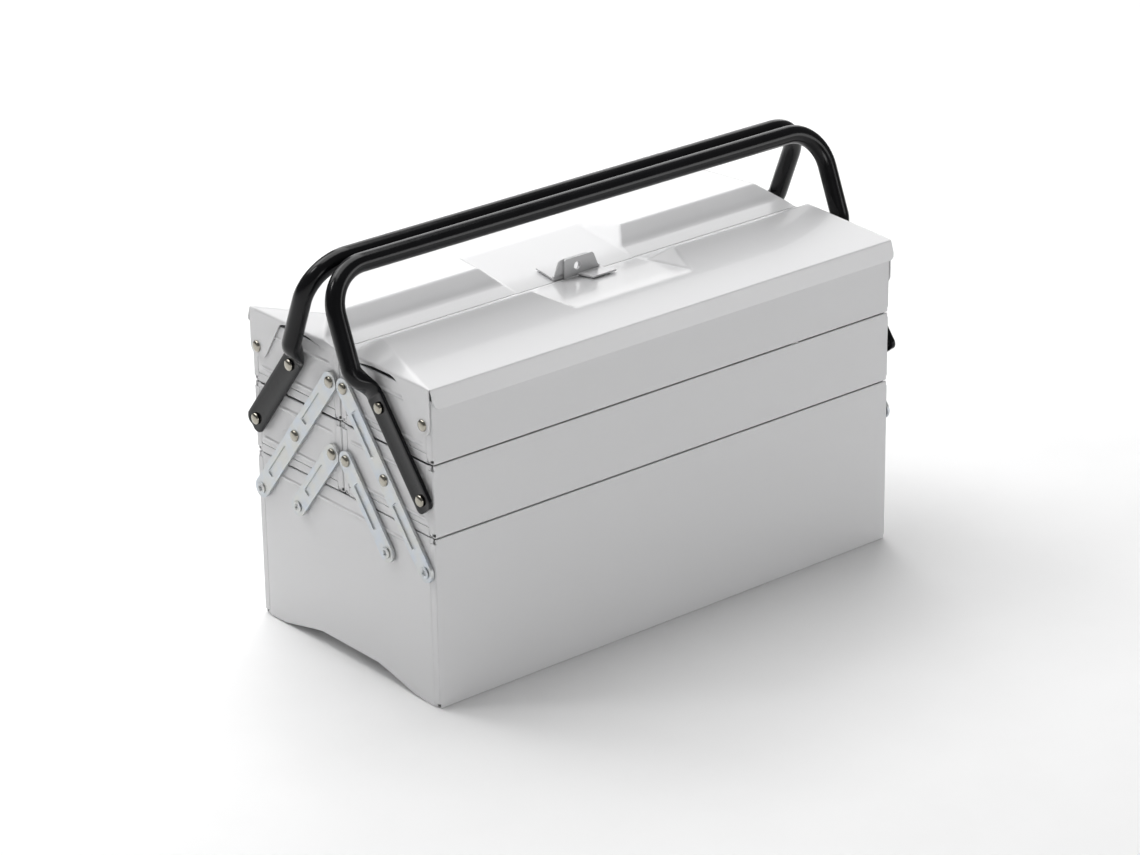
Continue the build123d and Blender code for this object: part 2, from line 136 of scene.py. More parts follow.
class LidSettings(bpy.types.PropertyGroup):
    """Shape of the two roof-shaped lids"""
    ridge_offset: length_prop("Ridge offset", "Ridge from the seam between the lids", 30.0)
    foot_offset: length_prop("Foot offset", "Foot of the steep slope from the seam", 15.6)
    foot_rise: length_prop("Foot rise", "Foot of the steep slope above the seam", 3.0)
    hip: length_prop("Hip length", "Length of the sloping roof ends", 15.5)
    softness: length_prop("Pressing softness", "Width over which two roof faces blend", 1.5)
    recess_foot: length_prop("Recess half length", "Half length of the hasp recess at its floor", 55.0)
    recess_ridge: length_prop("Recess half mouth", "Half length of the hasp recess at the ridge", 67.0)
    recess_depth: length_prop("Recess depth", "Seam to the outer edge of the hasp recess", 66.0)
    flange_drop: length_prop("Flange drop", "Height of the slanting outer flange", 13.6)
    flange_spread: length_prop("Flange spread", "How far the flange slants out", 4.6)
    apron: length_prop("Apron", "Depth of the end plate at the seam", 7.7)


class LinkageSettings(bpy.types.PropertyGroup):
    """Arms, handles and rivets"""
    arm_width: length_prop("Arm width", "Width of the flat arms", 15.0)
    groove_length: length_prop("Groove length", "Length of a pressed groove between two pivots", 35.0)
    groove_width: length_prop("Groove width", "Width of a pressed groove", 6.2)
    groove_depth: length_prop("Groove depth", "Depth of a pressed groove", 1.0)
    tube_radius: length_prop("Tube radius", "Radius of the handle tube", 7.0)
    handle_bend: length_prop("Handle bend", "Bend radius of the tube axis", 31.0)
    flat_half_width: length_prop("Flat half width", "Half width of the flattened tube ends", 9.5)
    flat_lead: length_prop("Flat lead", "Flattened length above the upper pivot", 10.0)
    flat_tail: length_prop("Flat tail", "Flattened length below the lower pivot", 8.5)
    flat_corner: length_prop("Flat corner", "Rounded corners of the lower end", 5.0)
    rivet_radius: length_prop("Rivet head radius", "Radius of the rivet heads", 4.4)
    rivet_height: length_prop("Rivet head height", "Height of the domed heads", 2.2)
    tilt: bpy.props.FloatProperty(name="Handle tilt", description="Plane of a handle against the vertical",
                                  default=math.radians(22.0), subtype="ANGLE", unit="ROTATION")


class ColourSettings(bpy.types.PropertyGroup):
    """Colours of the finishes and the floor"""
    enamel: colour_prop("Enamel", "Light grey stoving enamel", "#D7D7D8")
    black: colour_prop("Handle enamel", "Black stoving enamel", "#08080A")
    zinc: colour_prop("Zinc", "Bright zinc plate", "#C3C9D0")
    zinc_warm: colour_prop("Zinc tint", "Faintly warm patches of the passivated zinc", "#C9CAC7")
    rivet: colour_prop("Rivet", "Nickel-plated rivet heads", "#ABA79C")
    floor: colour_prop("Floor", "Studio floor", "#F8F8F8")


# ---- materials
def add_node(tree, kind, inputs=None, **settings):
    """New node with its settings; an input is a value, or a socket to link."""
    node = tree.nodes.new(kind)
    for key, value in settings.items():
        setattr(node, key, value)
    for key, value in (inputs or {}).items():
        if isinstance(value, bpy.types.NodeSocket):
            tree.links.new(value, node.inputs[key])
        else:
            node.inputs[key].default_value = value
    return node


def made_once(name):
    """Decorator: a function that fills an empty node tree becomes one that returns the finished material."""
    def wrap(fill):
        def material():
            made = bpy.data.materials.get(name)
            if made is None:
                made = bpy.data.materials.new(name)
                made.use_nodes = True
                made.node_tree.nodes.clear()
                fill(made.node_tree, bpy.context.scene.toolbox_colours)
            return made
        material.__doc__ = fill.__doc__
        return material
    return wrap


def object_place(tree):
    """Object coordinates, in metres."""
    return add_node(tree, "ShaderNodeTexCoord").outputs["Object"]


def noise(tree, place, cell, detail=2.0):
    """Noise factor whose cells are about this many millimetres wide."""
    inputs = {"Vector": place, "Scale": 1.0 / (cell * MM), "Detail": detail}
    return add_node(tree, "ShaderNodeTexNoise", inputs).outputs["Fac"]


def bump(tree, height, strength, depth, under=None):
    """Normal bent by a height factor; depth is in millimetres, and under is a normal to start from."""
    inputs = {"Height": height, "Strength": strength, "Distance": depth * MM}
    if under is not None:
        inputs["Normal"] = under
    return add_node(tree, "ShaderNodeBump", inputs).outputs["Normal"]


def shade(tree, colour, roughness, normal, **sockets):
    """Principled surface and output."""
    inputs = {"Base Color": colour, "Roughness": roughness, "Normal": normal}
    inputs.update({key.replace("_", " "): value for key, value in sockets.items()})
    surface = add_node(tree, "ShaderNodeBsdfPrincipled", inputs)
    add_node(tree, "ShaderNodeOutputMaterial", {"Surface": surface.outputs["BSDF"]})


def blended(tree, factor, low, high):
    """Colour between two, by a factor socket."""
    ramp = add_node(tree, "ShaderNodeValToRGB", {"Fac": factor})
    for element, position, colour in zip(ramp.color_ramp.elements, (0.35, 0.65), (low, high)):
        element.position = position
        element.color = (*colour, 1.0)
    return ramp.outputs["Color"]


def ranged(tree, factor, low, high):
    """Factor socket mapped to a range."""
    inputs = {"Value": factor, "To Min": low, "To Max": high}
    return add_node(tree, "ShaderNodeMapRange", inputs).outputs["Result"]


@made_once("grey_stoving_enamel")
def grey_enamel(tree, colours):
    """Stoved gloss enamel on pressed steel: even, with fine orange peel and the sheet's faint waves."""
    place = object_place(tree)
    waves = bump(tree, noise(tree, place, 90, 1.0), 0.2, 0.5)
    peel = bump(tree, noise(tree, place, 1.6), 0.12, 0.05, waves)
    shade(tree, (*colours.enamel, 1.0), 0.27, peel, IOR=1.5, Coat_Weight=0.3, Coat_Roughness=0.06)


@made_once("black_stoving_enamel")
def black_enamel(tree, colours):
    """Gloss black enamel dipped over tube: deep and wet-looking, with soft ripples and a little dust."""
    place = object_place(tree)
    haze = noise(tree, place, 22, 3.0)
    base = tuple(colours.black)
    colour = blended(tree, haze, base, tuple(c * 1.6 for c in base))
    ripples = bump(tree, noise(tree, place, 9), 0.3, 0.25)
    dust = bump(tree, noise(tree, place, 0.8, 3.0), 0.1, 0.04, ripples)
    shade(tree, colour, ranged(tree, haze, 0.13, 0.24), dust, IOR=1.5, Specular_IOR_Level=0.28)


@made_once("bright_zinc_plate")
def zinc_plate(tree, colours):
    """Bright zinc electroplate, clear passivated: bluish silver, warm patches and rolled grain."""
    place = object_place(tree)
    stretched = add_node(tree, "ShaderNodeMapping", {"Vector": place, "Scale": (1.0, 0.35, 1.0)})
    grain = noise(tree, stretched.outputs["Vector"], 0.7, 4.0)
    colour = blended(tree, noise(tree, place, 12, 3.0), tuple(colours.zinc), tuple(colours.zinc_warm))
    shade(tree, colour, ranged(tree, grain, 0.34, 0.5), bump(tree, grain, 0.18, 0.06), Metallic=0.85)


@made_once("nickel_plated_rivet")
def nickel_plate(tree, colours):
    """Nickel plate over steel rivets: smooth and warm, with light handling haze."""
    base = tuple(colours.rivet)
    haze = noise(tree, object_place(tree), 2.5, 3.0)
    colour = blended(tree, haze, tuple(c * 0.86 for c in base), base)
    shade(tree, colour, ranged(tree, haze, 0.14, 0.28), bump(tree, haze, 0.15, 0.1), Metallic=1.0)


@made_once("studio_floor")
def studio_floor(tree, colours):
    """Matt white studio board with a faint mottle."""
    base = tuple(colours.floor)
    mottle = noise(tree, object_place(tree), 60)
    colour = blended(tree, mottle, tuple(c * 0.99 for c in base), base)
    shade(tree, colour, 0.7, bump(tree, mottle, 0.02, 0.1), IOR=1.4)


# ---- mesh helpers
def scene_object(name, data):
    """New object of some data, in the scene."""
    made = bpy.data.objects.new(name, data)
    bpy.context.scene.collection.objects.link(made)
    return made


def saved_mesh(name, work):
    """Mesh made from a bmesh, which is freed."""
    mesh = bpy.data.meshes.new(name)
    work.to_mesh(mesh)
    work.free()
    return mesh


def grid_mesh(name, rows):
    """Mesh of a grid of points; a missing point leaves its faces out."""
    work = bmesh.new()
    verts = [[work.verts.new(p) if p is not None else None for p in row] for row in rows]
    for low, high in zip(verts, verts[1:]):
        for a, b, c, d in zip(low, low[1:], high[1:], high):
            if None not in (a, b, c, d):
                work.faces.new((a, b, c, d))
    bmesh.ops.remove_doubles(work, verts=work.verts, dist=0.02 * MM)
    loose = [v for v in work.verts if not v.link_faces]
    bmesh.ops.delete(work, geom=loose, context="VERTS")
    return saved_mesh(name, work)


def mirrored(point, side, end=1.0):
    """Point of the back right quarter moved to a side and an end; a missing point stays missing."""
    return None if point is None else Vector((point[0] * end, point[1] * side, point[2]))


def place_grid(grid, side, end=1.0):
    """Grid of the back right quarter moved to a side and an end."""
    return [[mirrored(p, side, end) for p in row] for row in grid]


def both_ends(right):
    """Row of the right half, from the middle out, with its mirror image before it."""
    return [mirrored(p, 1.0, -1.0) for p in reversed(right[1:])] + right


def tube_mesh(name, rings, merge):
    """Mesh skinned over closed rings of points, with both mouths closed; merge joins points this near."""
    work = bmesh.new()
    loops = [[work.verts.new(p) for p in ring] for ring in rings]
    count = len(loops[0])
    for low, high in zip(loops, loops[1:]):
        for i in range(count):
            j = (i + 1) % count
            work.faces.new((low[i], low[j], high[j], high[i]))
    work.faces.new(loops[0])
    work.faces.new(loops[-1])
    bmesh.ops.remove_doubles(work, verts=work.verts, dist=merge)
    bmesh.ops.recalc_face_normals(work, faces=work.faces)
    return saved_mesh(name, work)


def evaluated_mesh(obj):
    """Plain mesh of an object as its modifiers or curve settings make it."""
    depsgraph = bpy.context.evaluated_depsgraph_get()
    return bpy.data.meshes.new_from_object(obj.evaluated_get(depsgraph), depsgraph=depsgraph)


def apply_modifiers(obj):
    """Replaces the object's mesh by its evaluated one and drops the modifiers."""
    baked = evaluated_mesh(obj)
    obj.modifiers.clear()
    old = obj.data
    obj.data = baked
    bpy.data.meshes.remove(old)


def finish_piece(obj, material, body, nodes, thickness=0.0, edge=0.15 * MM):
    """Gives a piece its wall, rounded edges and material, and the CAD body, slot and nodes it stands for."""
    obj.data.shade_smooth()
    if thickness:
        wall = obj.modifiers.new("wall", "SOLIDIFY")
        wall.thickness = thickness
        wall.offset = -1.0
        wall.use_even_offset = True
        wall.use_quality_normals = True
    if edge:
        rounding = obj.modifiers.new("rounding", "BEVEL")
        rounding.width = edge
        rounding.segments = 2
        rounding.limit_method = "ANGLE"
        rounding.angle_limit = math.radians(50)
    weights = obj.modifiers.new("weights", "WEIGHTED_NORMAL")
    weights.weight = 90
    apply_modifiers(obj)
    obj.data.materials.clear()
    obj.data.materials.append(material)
    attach(obj, body)
    if nodes:
        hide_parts(*nodes)


def sheet_piece(name, grid, side, end, body, node, material=None, thickness=SHEET,
                edge=0.15 * MM):
    """Piece of sheet from an outer-face grid of the back right quarter, in grey enamel unless told."""
    mesh = grid_mesh(name, place_grid(grid, side, end))
    if side * end < 0:
        mesh.flip_normals()
    finish_piece(scene_object(name, mesh), material or grey_enamel(), body, [node], thickness, edge)


def steps(start, end, count):
    """Evenly spaced values, both ends included."""
    return [start + (end - start) * i / count for i in range(count + 1)]


def merge_steps(*runs):
    """Runs of values joined in order, without repeats."""
    values = sorted(v for run in runs for v in run)
    kept = values[:1]
    for value in values[1:]:
        if value - kept[-1] > 0.05 * MM:
            kept.append(value)
    return kept


def smooth_step(value, start, end):
    """0 at the start, 1 at the end, and level at both."""
    ratio = min(max((value - start) / (end - start), 0.0), 1.0)
    return ratio * ratio * (3 - 2 * ratio)


def soft_min(a, b, width):
    """Smaller of two values, rounded where they are within the width of each other."""
    blend = max(width - abs(a - b), 0.0) / width
    return min(a, b) - blend * blend * width / 4


def soft_max(a, b, width):
    """Larger of two values, rounded in the same way."""
    return -soft_min(-a, -b, width)


# ---- folded shells
def shell_profile(wall_in, wall_out, low, high, floor_line, sheet):
    """Rows of a folded shell, from the outer hem down, across the floor and up to the inner hem.

    A row is (y, z, inward direction, kind), with kind hem, bend, wall or floor.
    """
    fold = SHEET + 0.1 * MM

    def wall(y, inward):
        """Hem, wall and lower bend of one long side, from the top down."""
        points = [(y + inward * 2 * fold, high - sheet.hem, "hem")]
        for turn in steps(0, math.pi, 6):
            reach = fold + fold * math.cos(turn)
            points.append((y + inward * reach, high - fold + fold * math.sin(turn), "hem"))
        points += [(y, high - sheet.relief, "wall"), (y, low + sheet.relief, "wall")]
        for turn in steps(0, math.pi / 2, 5):
            points.append((y + inward * sheet.bend * (1 - math.cos(turn)),
                           low + sheet.bend * (1 - math.sin(turn)), "bend"))
        return [(a, b, Vector((0, inward, 0)), kind) for a, b, kind in points]

    floor = [(y, z, Vector((0, 0, 1)), "floor") for y, z in floor_line]
    return wall(wall_out, -1) + floor + wall(wall_in, 1)[::-1]


def shell_grid(rows, sheet, widths):
    """Grid of a folded shell with its strips wrapped onto both end faces."""
    bend = sheet.bend
    straight = HALF_LENGTH - bend
    grid = []
    for y, z, inward, kind in rows:
        here = Vector((0, y, z))
        wrap = [Vector((straight + bend * math.sin(turn), 0, 0)) + inward * bend * (1 - math.cos(turn))
                for turn in steps(0, math.pi / 2, 5)[1:]]
        wrap.append(Vector((HALF_LENGTH, 0, 0)) + inward * widths.get(kind, 0))
        right = [here + offset if kind in widths else None for offset in wrap]
        left = [mirrored(p, 1.0, -1.0) for p in reversed(right)]
        middle = [here + Vector((x, 0, 0)) for x in steps(-straight, straight, 8)]
        grid.append(left + middle + right)
    return grid


def floor_heights(sheet):
    """Floor line of the base, from the back foot to the front: flat feet, slopes and a raised middle."""
    foot_width, flat, rise = 24.0 * MM, 35.0 * MM, 10.0 * MM
    foot = HALF_DEPTH - foot_width
    inner = HALF_DEPTH - sheet.bend
    half = [(foot + 4 * MM, 0.0), (foot, 0.15 * MM), (foot - 4 * MM, 0.9 * MM),
            (flat + 3 * MM, rise - 0.7 * MM), (flat, rise - 0.15 * MM), (flat - 3 * MM, rise)]
    return [(inner, 0.0)] + half + [(-y, z) for y, z in reversed(half)] + [(-inner, 0.0)]


def base_floor_height(y, sheet):
    """Height of the floor's underside at a distance from the middle."""
    line = floor_heights(sheet)
    for (y_high, z_high), (y_low, z_low) in zip(line, line[1:]):
        if y_low <= y <= y_high:
            return z_low + (z_high - z_low) * (y - y_low) / max(y_high - y_low, 1e-9)
    return 0.0


def panel_grid(y_range, bottom, rim, field, beads, sheet):
    """Right end panel: flush field, edge tucked behind the shell's strips, beads, and the rim folded inwards.

    bottom gives the panel's lower edge at y; field is (lowest y, highest y, border above the bottom).
    A border of None is for the base, whose lower edge follows the floor.
    """
    y_low, y_high = y_range
    field_low, field_high, border = field
    follows_floor = border is None
    open_edge = sheet.notch - 2 * SHEET
    near, far = 3 * MM, 10 * MM
    y_values = merge_steps([y_low + open_edge, y_high - open_edge], steps(y_low, field_low + near, 8),
                           steps(field_low + near, field_low + far, 5),
                           steps(field_low + far, field_high - far, 16),
                           steps(field_high - far, field_high - near, 5), steps(field_high - near, y_high, 8))
    half_bead = sheet.bead_width / 2
    bead_run = 1.3 * half_bead
    low = 14 * MM if follows_floor else bottom(0.5 * (y_low + y_high))
    lowest = bottom(y_low)
    z_values = merge_steps(steps(low, rim - SHEET, 10), [rim - sheet.relief],
                           [] if follows_floor else steps(low, low + 12 * MM, 16),
                           *[steps(z - bead_run, z + bead_run, 10) for z in beads])

    def surface(y, z):
        """Point of the panel, or nothing where a corner is left open."""
        beside = min(y - y_low, y_high - y) < open_edge
        if beside and (z > rim - sheet.relief or z < lowest + sheet.relief):
            return None
        to_side = min(y - field_low, field_high - y)
        inside = to_side if follows_floor else min(to_side, z - bottom(y) - border)
        tuck = SHEET * (1 - smooth_step(inside, -1.0 * MM, 0.2 * MM))
        along = smooth_step(to_side, 3 * MM, 7 * MM)
        across = max(smooth_step(half_bead - abs(z - height), 0.0, 0.7 * half_bead) for height in beads)
        return Vector((HALF_LENGTH - tuck + sheet.bead_height * across * along, y, z))

    rows = []
    if follows_floor:
        for share in (0.0, 0.13, 0.26, 0.6):
            rows.append([surface(y, bottom(y) + SHEET + (low - bottom(y) - SHEET) * share) for y in y_values])
    rows += [[surface(y, z) for y in y_values] for z in z_values]

    def shifted(row, offset):
        return [p + offset if p is not None else None for p in row]

    fold = SHEET + 0.05 * MM
    top = [surface(y, rim - SHEET) for y in y_values]
    rows += [shifted(top, Vector((-fold * (1 - math.cos(turn)), 0, SHEET * math.sin(turn))))
             for turn in steps(0, math.pi, 6)[1:]]
    rows.append(shifted(rows[-1], Vector((0, 0, SHEET - sheet.hem))))
    return rows


class TOOLBOX_OT_base(bpy.types.Operator):
    """Folded base with a raised floor, and its two end panels"""
    bl_idname = "toolbox.base"
    bl_label = "Base"

    def execute(self, context):
        sheet = context.scene.toolbox_sheet
        rows = shell_profile(-HALF_DEPTH, HALF_DEPTH, 0.0, BASE_RIM, floor_heights(sheet)[1:-1], sheet)
        shell = shell_grid(rows, sheet, {"wall": sheet.strip})
        sheet_piece("base_body", shell, 1.0, 1.0, "base", "base_shell")
        tucked = HALF_DEPTH - 2 * SHEET
        edge = HALF_DEPTH - sheet.strip - STRIP_GAP
        panel = panel_grid((-tucked, tucked), lambda y: base_floor_height(y, sheet), BASE_RIM,
                           (-edge, edge, None), [BASE_RIM - sheet.bead_drop], sheet)
        for end, sign in ENDS.items():
            sheet_piece(f"base_panel_{end}", panel, 1.0, sign, "base", f"base_end_{end}")
        return {"FINISHED"}


class TOOLBOX_OT_trays(bpy.types.Operator):
    """Four folded trays with their end panels"""
    bl_idname = "toolbox.trays"
    bl_label = "Trays"

    def execute(self, context):
        for side, sign in SIDES.items():
            for level in LEVELS:
                self.make_tray(f"{side}_{level}_tray", sign, level, context.scene.toolbox_sheet)
        return {"FINISHED"}

    def make_tray(self, body, sign, level, sheet):
        """One tray, from the limits of the back one's shell."""
        (_, y_in, low), (_, y_out, high) = corners(f"back_{level}_tray_shell")
        border = sheet.strip + STRIP_GAP
        rows = shell_profile(y_in, y_out, low, high, [(y_out - border, low), (y_in + border, low)], sheet)
        shell = shell_grid(rows, sheet, {"wall": sheet.strip, "floor": sheet.bottom_strip})
        sheet_piece(f"{body}_body", shell, sign, 1.0, body, f"{body}_shell")
        panel = panel_grid((y_in + 2 * SHEET, y_out - 2 * SHEET), lambda y: low + 2 * SHEET,
                           high - sheet.rim_step, (y_in + border, y_out - border, sheet.bottom_strip - SHEET),
                           [low + sheet.bead_lift, high - sheet.bead_drop], sheet)
        for end, end_sign in ENDS.items():
            sheet_piece(f"{body}_panel_{end}", panel, sign, end_sign, body, f"{body}_end_{end}")


# ---- lids
class RoofShape:
    """Height of the back lid's outer face, and the lower outline of its end plates."""

    def __init__(self, settings):
        low, high = corners("back_lid")
        self.settings = settings
        self.half_length = high.x
        self.seam_y = low.y
        self.ridge = high.z
        self.corner_y = high.y - settings.flange_spread
        self.seam = 2 * corners("back_middle_tray_shell")[1].z - BASE_RIM
        corner_rise, hip_rise = 2.1 * MM, 2.2 * MM
        self.corner_z = self.seam + corner_rise
        self.hip_foot = self.seam + hip_rise
        self.outer_slope = (self.ridge - self.corner_z) / (self.corner_y - settings.ridge_offset)
        self.ear_y, self.ear_z = PIVOTS["top_outer"]

    def height(self, x, y):
        """Height of the outer face: slopes, sloping ends and the recess round the hasp."""
        use = self.settings
        outer = self.corner_z + (self.corner_y - y) * self.outer_slope
        steep = (self.ridge - self.seam - use.foot_rise) / (use.ridge_offset - use.foot_offset)
        inner = self.seam + use.foot_rise + (y - use.foot_offset) * steep
        valley = self.seam + use.foot_rise * y / use.foot_offset
        roof = soft_min(outer, soft_max(inner, valley, use.softness), use.softness)
        hip_slope = (self.ridge - self.hip_foot) / use.hip
        hip = self.hip_foot + (self.half_length - abs(x)) * hip_slope
        roof = soft_min(roof, hip, 0.7 * use.softness)
        far = self.corner_z + (self.corner_y - use.recess_depth) * self.outer_slope
        floor = self.seam + (far - self.seam) * y / use.recess_depth
        ridge_floor = self.seam + (far - self.seam) * use.ridge_offset / use.recess_depth
        wall_slope = (self.ridge - ridge_floor) / (use.recess_ridge - use.recess_foot)
        recess = soft_max(floor, floor + (abs(x) - use.recess_foot) * wall_slope, use.softness)
        return soft_min(roof, recess, 0.8 * use.softness)

    def plate_bottom(self, y):
        """Lower edge of the end plate: apron, arch over the handle, slanting neck and rounded ear."""
        inner = self.ear_y - EAR_SPREAD
        mid = PIVOTS["top_mid"][0]
        rise, shoulder = 0.9 * MM, 2.5 * MM
        arch = self.seam + rise
        lean = Vector((0.539, -0.842))
        side = Vector((inner, self.ear_z)) + Vector((lean.y, -lean.x)) * EAR_RADIUS
        neck = side - lean * ((arch - shoulder - side.y) / -lean.y)
        if y < mid:
            apron = self.settings.apron
            return self.seam - apron + (apron + rise) * smooth_step(y, -20 * MM, mid)
        if y < neck.x:
            return arch - shoulder * ((y - mid) / (neck.x - mid)) ** 3
        if y < side.x:
            return neck.y + (side.y - neck.y) * (y - neck.x) / (side.x - neck.x)
        past = max(inner - y, y - self.ear_y, 0.0)
        return self.ear_z - math.sqrt(max(EAR_RADIUS ** 2 - past ** 2, 0.0))


def lid_grid(roof):
    """One grid for a lid: roof, bent ends down to the ear outline, and the slanting outer flange."""
    use = roof.settings
    ridge, foot = use.ridge_offset, use.foot_offset
    ear_inner = roof.ear_y - EAR_SPREAD
    quarter = steps(0, math.pi / 2, 10)
    ys = merge_steps(steps(roof.seam_y, foot - 3 * MM, 6), steps(foot - 3 * MM, foot + 3 * MM, 6),
                     steps(foot + 3 * MM, ridge - 4 * MM, 5), steps(ridge - 4 * MM, ridge + 4 * MM, 10),
                     steps(ridge + 4 * MM, use.recess_depth - 4 * MM, 18),
                     steps(use.recess_depth - 4 * MM, ear_inner - EAR_RADIUS, 18),
                     [ear_inner - EAR_RADIUS * math.cos(t) for t in quarter],
                     [roof.ear_y + EAR_RADIUS * math.sin(t) for t in quarter])
    last_x = roof.half_length - 1.0 * MM
    xs = merge_steps(steps(0, use.recess_foot - 4 * MM, 8),
                     steps(use.recess_foot - 4 * MM, use.recess_ridge + 6 * MM, 26),
                     steps(use.recess_ridge + 6 * MM, roof.half_length - use.hip - 5 * MM, 12),
                     steps(roof.half_length - use.hip - 5 * MM, last_x, 18))

    def end_points(y):
        """Bend and end plate beyond the last roof point, from the top down."""
        top = roof.height(last_x, y)
        corner_z = roof.height(roof.half_length, y)
        plate_top = corner_z - 1.3 * MM
        points = []
        for share in (0.25, 0.5, 0.75, 1.0):
            x = (1 - share) ** 2 * last_x + (2 - share) * share * roof.half_length
            z = (1 - share) ** 2 * top + 2 * share * (1 - share) * corner_z + share ** 2 * plate_top
            points.append(Vector((x, y, z)))
        bottom = min(roof.plate_bottom(y), plate_top - 0.4 * MM)
        return points + [Vector((roof.half_length, y, z)) for z in steps(plate_top, bottom, 4)[1:]]

    rows = [both_ends([Vector((x, y, roof.height(x, y))) for x in xs] + end_points(y)) for y in ys]

    flange_end, radius = HALF_LENGTH + 0.5 * MM, 5 * MM
    length = math.hypot(use.flange_drop, use.flange_spread)
    down = Vector((0, use.flange_spread, -use.flange_drop)) / length
    edge_z = roof.height(100 * MM, ys[-1])
    start = Vector((0, ys[-1], edge_z))
    joint = Vector((0, roof.corner_y, roof.corner_z))
    after = joint + down * (joint - start).length
    spare = len(rows[0]) // 2 - len(xs) + 1

    def flange_row(point, share):
        """Row of the flange; its lower corners are rounded by shortening it near the ends."""
        right = []
        for x in xs:
            if x > flange_end:
                right.append(None)
                continue
            past = max(x - (flange_end - radius), 0.0)
            cut = radius - math.sqrt(max(radius ** 2 - past ** 2, 0.0))
            lift = Vector((0, 0, roof.height(x, ys[-1]) - edge_z)) * (1 - share)
            right.append(Vector((x, 0, 0)) + point - down * cut * share + lift)
        return both_ends(right + [None] * spare)

    for share in (0.25, 0.5, 0.75, 1.0):
        point = start * (1 - share) ** 2 + joint * 2 * share * (1 - share) + after * share ** 2
        rows.append(flange_row(point, 0.0))
    rest = length - (joint - start).length
    rows += [flange_row(after + down * rest * share, share) for share in steps(0, 1, 5)[1:]]
    return rows


class TOOLBOX_OT_lids(bpy.types.Operator):
    """Two pressed roof-shaped lids with hinge ears"""
    bl_idname = "toolbox.lids"
    bl_label = "Lids"

    def execute(self, context):
        grid = lid_grid(RoofShape(context.scene.toolbox_lid))
        for side, sign in SIDES.items():
            sheet_piece(f"{side}_lid_pressing", grid, sign, 1.0, f"{side}_lid", f"{side}_lid")
        return {"FINISHED"}


class TOOLBOX_OT_hasp(bpy.types.Operator):
    """Two bent tabs whose holes take the padlock"""
    bl_idname = "toolbox.hasp"
    bl_label = "Hasp tabs"

    def execute(self, context):
        roof = RoofShape(context.scene.toolbox_lid)
        for side, sign in SIDES.items():
            self.make_tab(side, sign, roof)
        return {"FINISHED"}

    def make_tab(self, side, sign, roof):
        """The front tab is the back one, turned half a turn about the vertical."""
        thickness, bend = 1.2 * MM, 1.6 * MM
        hole_radius, hole_rise = 3 * MM, 8 * MM
        low, high = corners("back_hasp_tab")
        foot = roof.height(0, low.y) + thickness
        upright = [(high.x, foot - thickness + 0.3 * MM), (high.x, high.z), (-15 * MM, high.z), (low.x, foot)]
        outline = rounded_outline(upright, [0.2 * MM, 2.2 * MM, 2.2 * MM, 0.2 * MM])
        hole = [(hole_radius * math.cos(t), roof.seam + hole_rise + hole_radius * math.sin(t))
                for t in steps(0, 2 * math.pi, 32)[:-1]]
        plate = flat_plate("hasp_plate", outline, [hole], thickness)
        plate.transform(Matrix.Translation((0, low.y + thickness, 0)) @ Matrix.Rotation(math.pi / 2, 4, "X"))
        arc = [Vector((0, low.y + bend * (1 - math.cos(t)), foot + bend * (1 - math.sin(t)) - 0.2 * MM))
               for t in steps(0, math.pi / 2, 5)]
        run = [Vector((0, y, roof.height(0, y) + thickness + 0.02 * MM))
               for y in steps(low.y + bend + 0.5 * MM, high.y, 6)]
        path = [Vector((0, low.y, foot + 3 * MM))] + arc + run
        widths = [Vector((x, 0, 0)) for x in steps(low.x, 1 * MM, 6)]
        strip = grid_mesh("hasp_strip", [[p + across for across in widths] for p in path])
        tab = scene_object(f"{side}_hasp", strip)
        wall = tab.modifiers.new("wall", "SOLIDIFY")
        wall.thickness = thickness
        wall.offset = 1.0
        apply_modifiers(tab)
        work = bmesh.new()
        work.from_mesh(tab.data)
        work.from_mesh(plate)
        bmesh.ops.recalc_face_normals(work, faces=work.faces)
        if sign < 0:
            bmesh.ops.rotate(work, verts=work.verts, matrix=Matrix.Rotation(math.pi, 3, "Z"))
        work.to_mesh(tab.data)
        work.free()
        finish_piece(tab, grey_enamel(), f"{side}_lid", [f"{side}_hasp_tab"], edge=0.25 * MM)


def rounded_outline(points, radii):
    """Closed outline with a quadratic corner of each given radius."""
    out = []
    for i, (point, radius) in enumerate(zip(points, radii)):
        here = Vector(point)
        before = (Vector(points[i - 1]) - here).normalized() * radius
        after = (Vector(points[(i + 1) % len(points)]) - here).normalized() * radius
        for share in steps(0, 1, 5):
            out.append(here + before * (1 - share) ** 2 + after * share ** 2)
    return out


def flat_plate(name, outline, holes, thickness):
    """Plate of an outline with holes, in the XY plane, as a mesh."""
    curve = bpy.data.curves.new(name, "CURVE")
    curve.dimensions = "2D"
    curve.fill_mode = "BOTH"
    curve.extrude = thickness / 2
    for ring in [outline] + holes:
        spline = curve.splines.new("POLY")
        spline.points.add(len(ring) - 1)
        for point, (x, y) in zip(spline.points, ring):
            point.co = (x, y, 0, 1)
        spline.use_cyclic_u = True
    holder = scene_object(name, curve)
    mesh = evaluated_mesh(holder)
    bpy.data.objects.remove(holder)
    mesh.transform(Matrix.Translation((0, 0, thickness / 2)))
    work = bmesh.new()
    work.from_mesh(mesh)
    bmesh.ops.remove_doubles(work, verts=work.verts, dist=0.01 * MM)
    work.to_mesh(mesh)
    work.free()
    return mesh


